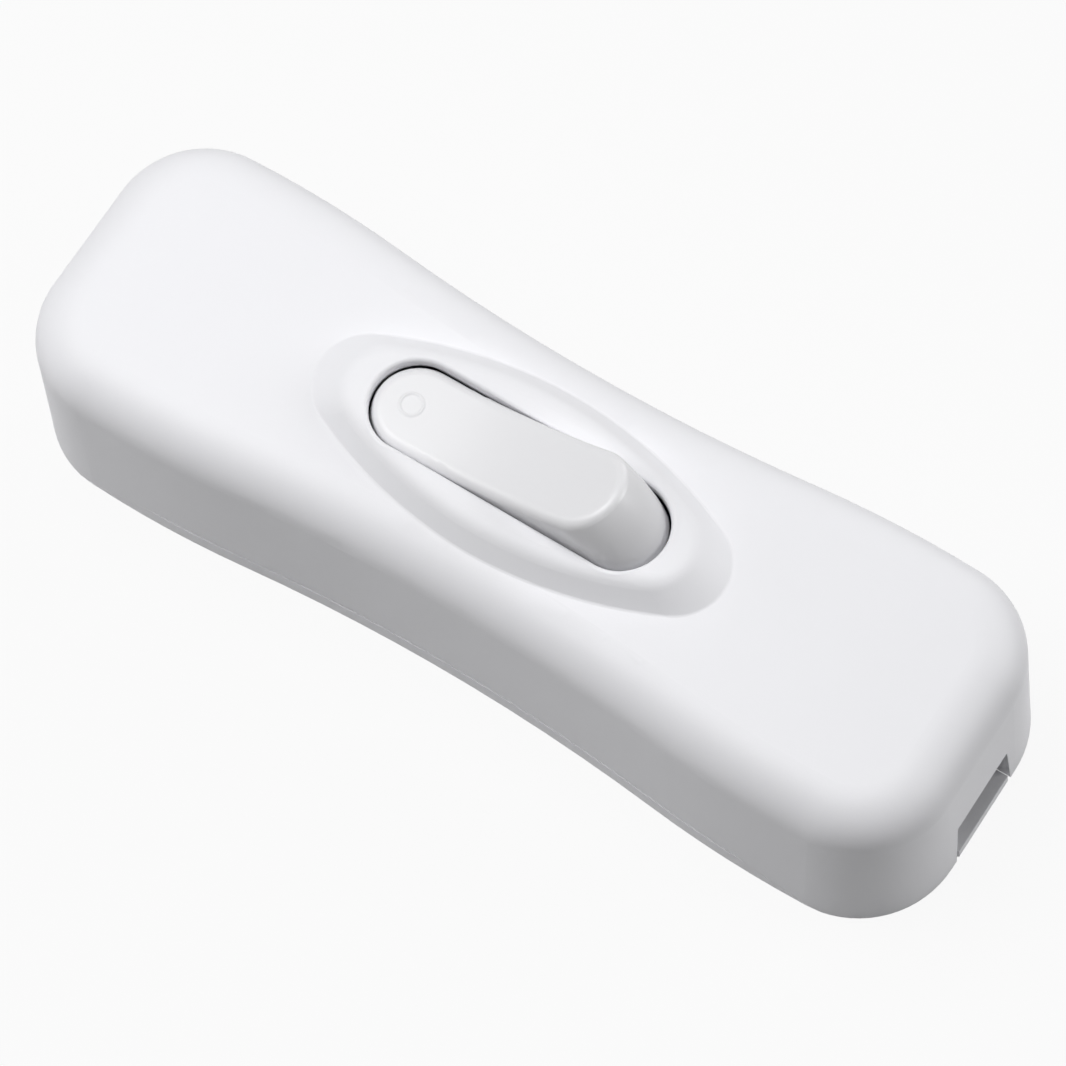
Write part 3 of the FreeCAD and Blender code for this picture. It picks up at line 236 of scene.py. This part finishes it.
# Bluish satin without direction, from the plating drum.
finishes["screw_steel"] = worked_metal(
    "zinc_plated_steel", "#c9ccd2", "#a9b0bd",
    roughness=0.34, spread=0.1, width=0.15 * MM, length=0.15 * MM, patch=1.5 * MM)
print("finishes:", ", ".join(sorted(finishes)))

# %% [markdown]
# ## Giving each piece its finish
#
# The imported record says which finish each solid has, so the pieces take their materials from it by
# name. Writing the list again here would let the two drift apart.

# %% Finish every piece
for subpart in frame["record"]["subparts"]:
    piece = nodes[subpart["node"]]
    piece.data.materials.clear()
    piece.data.materials.append(finishes[subpart["material_slot"]])

# %% [markdown]
# ## The mark on the rocker
#
# The end of the rocker that is pressed at rest has a small closed ring, the usual sign for off. In the
# mould it is a groove cut into the polished steel, so on the rocker it stands up as a low rounded bead.
# The rocker's top is dished, so a flat ring would sink in on one side and float on the other. Each
# point of the bead is dropped onto the rocker instead, and then lifted along the surface's own normal
# by the bead's section. A flat foot just below the surface closes it.

# %% Ring bead
def ring_bead(name, carrier, centre, radius, width, height):
    """Closed bead with a rounded section that lies on the carrier's upper side."""
    around = 96
    across = 9
    sink = 0.05 * height
    down = Vector((0, 0, -1))
    form = bmesh.new()
    rows = []
    for step in range(around):
        turn = 2 * math.pi * step / around
        row = []
        for place in range(across):
            share = 2 * place / (across - 1) - 1
            reach = radius + share * width / 2
            start = centre + Vector((reach * math.cos(turn), reach * math.sin(turn), 0))
            point, normal = carrier.ray_cast(start, down)[1:3]
            lift = height * math.cos(share * math.pi / 2) ** 2 - sink
            row.append(form.verts.new(point + normal * lift))
        rows.append(row)
    for row, following in zip(rows, rows[1:] + rows[:1]):
        for place in range(across - 1):
            form.faces.new((row[place], row[place + 1], following[place + 1], following[place]))
        form.faces.new((row[0], following[0], following[-1], row[-1]))
        # The crown is shaded smooth, with a sharp edge where it meets the foot.
        for place in (0, -1):
            form.edges.get((row[place], following[place])).smooth = False
    bmesh.ops.recalc_face_normals(form, faces=form.faces)
    for face in form.faces:
        face.smooth = True
    mesh = bpy.data.meshes.new(name)
    form.to_mesh(mesh)
    form.free()
    bead = bpy.data.objects.new(name, mesh)
    scene.collection.objects.link(bead)
    return bead


bpy.context.view_layer.update()
above_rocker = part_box("rocker")[1][2] + 1 * MM
mark_place = Vector((-8.2 * MM, 0, above_rocker))
off_mark = ring_bead(
    "off_mark", nodes["rocker"], mark_place, radius=0.78 * MM, width=0.3 * MM, height=0.06 * MM)
off_mark.data.materials.append(finishes["rocker_plastic"])
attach(off_mark, "rocker")
print("off mark faces:", len(off_mark.data.polygons))

# %% [markdown]
# ## Floor and surroundings
#
# A product photograph of a white thing on white has to keep the edge of the thing. The floor is a sheet
# of pale grey paper. Seen straight, it is mostly a plain white glow, so that it meets the white
# surroundings without a line, and the small rest is matt paper, which keeps the soft shadow. To the
# light it is paper only, and sends a little of it back under the casing. Mirrored in a glossy surface
# it looks as it does seen straight. More light on the floor would give the white too, but it would
# bleach the switch. The paper lies a hair below the casing, so that the two never share a plane.

# %% Pale paper and white room
def seen_straight(tree):
    """One for rays from the eye, also by a mirror or through glass, and nought for light on its way."""
    path = add(tree, "ShaderNodeLightPath")
    mirrored = add(tree, "ShaderNodeMath", {
        0: path.outputs["Is Glossy Ray"], 1: path.outputs["Is Transmission Ray"]},
        operation="MAXIMUM")
    return add(tree, "ShaderNodeMath", {
        0: path.outputs["Is Camera Ray"], 1: mirrored.outputs[0]}, operation="MAXIMUM").outputs[0]


def pale_paper(name, glow_share):
    """Matt pale grey paper, of which the eye sees the given share as a plain white glow."""
    fibre_width = 2 * MM
    material, tree, output, place = new_material(name)
    fibre = add(tree, "ShaderNodeTexNoise", {"Vector": place, "Scale": 1 / fibre_width, "Detail": 3.0})
    tone = add(tree, "ShaderNodeMix", {
        0: fibre.outputs["Fac"], 6: colour("#c6c6c6"), 7: colour("#c2c2c2")}, data_type="RGBA")
    matt = add(tree, "ShaderNodeBsdfDiffuse", {"Color": tone.outputs[2]})
    glow = add(tree, "ShaderNodeEmission", {"Color": (1, 1, 1, 1), "Strength": 1.0})
    share = add(tree, "ShaderNodeMath", {0: seen_straight(tree), 1: glow_share}, operation="MULTIPLY")
    mixed = add(tree, "ShaderNodeMixShader", {
        0: share.outputs[0], 1: matt.outputs[0], 2: glow.outputs[0]})
    tree.links.new(mixed.outputs[0], output.inputs["Surface"])
    return material


half_floor = 2.0
floor_level = -0.02 * MM
floor_mesh = bpy.data.meshes.new("floor")
floor_corners = [(-half_floor, -half_floor, floor_level), (half_floor, -half_floor, floor_level),
                 (half_floor, half_floor, floor_level), (-half_floor, half_floor, floor_level)]
floor_mesh.from_pydata(floor_corners, [], [(0, 1, 2, 3)])
floor = bpy.data.objects.new("floor", floor_mesh)
floor.data.materials.append(pale_paper("pale_paper", glow_share=0.92))
scene.collection.objects.link(floor)

room = bpy.data.worlds.new("white_room")
room.use_nodes = True
background = room.node_tree.nodes["Background"]
background.inputs["Color"].default_value = colour("#fcfcff")
room.node_tree.links.new(seen_straight(room.node_tree), background.inputs["Strength"])
scene.world = room
print("floor half width in metres:", half_floor)

# %% [markdown]
# ## Lamps
#
# White on white is drawn by light alone. In the photograph the top is brightest at the far end and
# fades towards the near one, the near walls are grey, and the end with the slot is darkest. So most of
# the light comes from a softbox almost overhead, a little to the far end's side and close enough to
# fall off along the switch. Two small ones from the left open up the long near edge and the side of the
# oval. Two low ones behind keep the far edge and the raised end of the rocker from going grey. A single
# bright room would need no lamps, but it flattens every curve.

# %% Soft lamps
def direction(azimuth, elevation):
    """Unit vector at these angles in degrees. Azimuth 0 points to -Y and 90 to +X."""
    turn = math.radians(azimuth)
    rise = math.radians(elevation)
    return Vector((math.sin(turn) * math.cos(rise), -math.cos(turn) * math.cos(rise), math.sin(rise)))


def softbox(name, azimuth, elevation, distance, size, watts):
    """Square soft lamp that stands at these angles and faces the switch."""
    away = direction(azimuth, elevation)
    lamp = bpy.data.lights.new(name, "AREA")
    lamp.size = size
    lamp.energy = watts
    holder = bpy.data.objects.new(name, lamp)
    holder.location = away * distance
    holder.rotation_mode = "QUATERNION"
    holder.rotation_quaternion = away.to_track_quat("Z", "Y")
    scene.collection.objects.link(holder)


softbox("overhead", azimuth=268, elevation=76, distance=0.38, size=0.28, watts=0.79)
softbox("left_side", azimuth=290, elevation=35, distance=0.36, size=0.24, watts=0.21)
softbox("left_front", azimuth=305, elevation=62, distance=0.36, size=0.24, watts=0.32)
softbox("back", azimuth=180, elevation=10, distance=0.6, size=0.3, watts=0.55)
softbox("back_right", azimuth=125, elevation=24, distance=0.6, size=0.3, watts=1.25)

# %% [markdown]
# ## Camera
#
# The photograph looks down at the switch from its near right, with a long lens and the camera rolled a
# little. The angles come from fitting a box of the switch's size to the outline in the picture. A long
# lens from about a third of a metre keeps the small change of size from the near end to the far one.
# The small shift takes the place of cropping.

# %% Photograph's viewpoint
camera_distance = 0.338
camera_roll = math.radians(8.78)
towards_camera = direction(azimuth=41.02, elevation=68.03)
camera_data = bpy.data.cameras.new("photo_camera")
camera_data.sensor_width = 36.0
camera_data.lens = 170.9
camera_data.shift_y = 0.0241
camera_data.clip_start = 0.01
camera_data.clip_end = 10.0
camera = bpy.data.objects.new("photo_camera", camera_data)
camera.location = towards_camera * camera_distance
camera.rotation_mode = "QUATERNION"
upright = towards_camera.to_track_quat("Z", "Y")
camera.rotation_quaternion = upright @ Matrix.Rotation(-camera_roll, 3, "Z").to_quaternion()
scene.collection.objects.link(camera)
scene.camera = camera
scene.view_settings.view_transform = "Standard"
print("camera at", [round(value, 3) for value in camera.location])
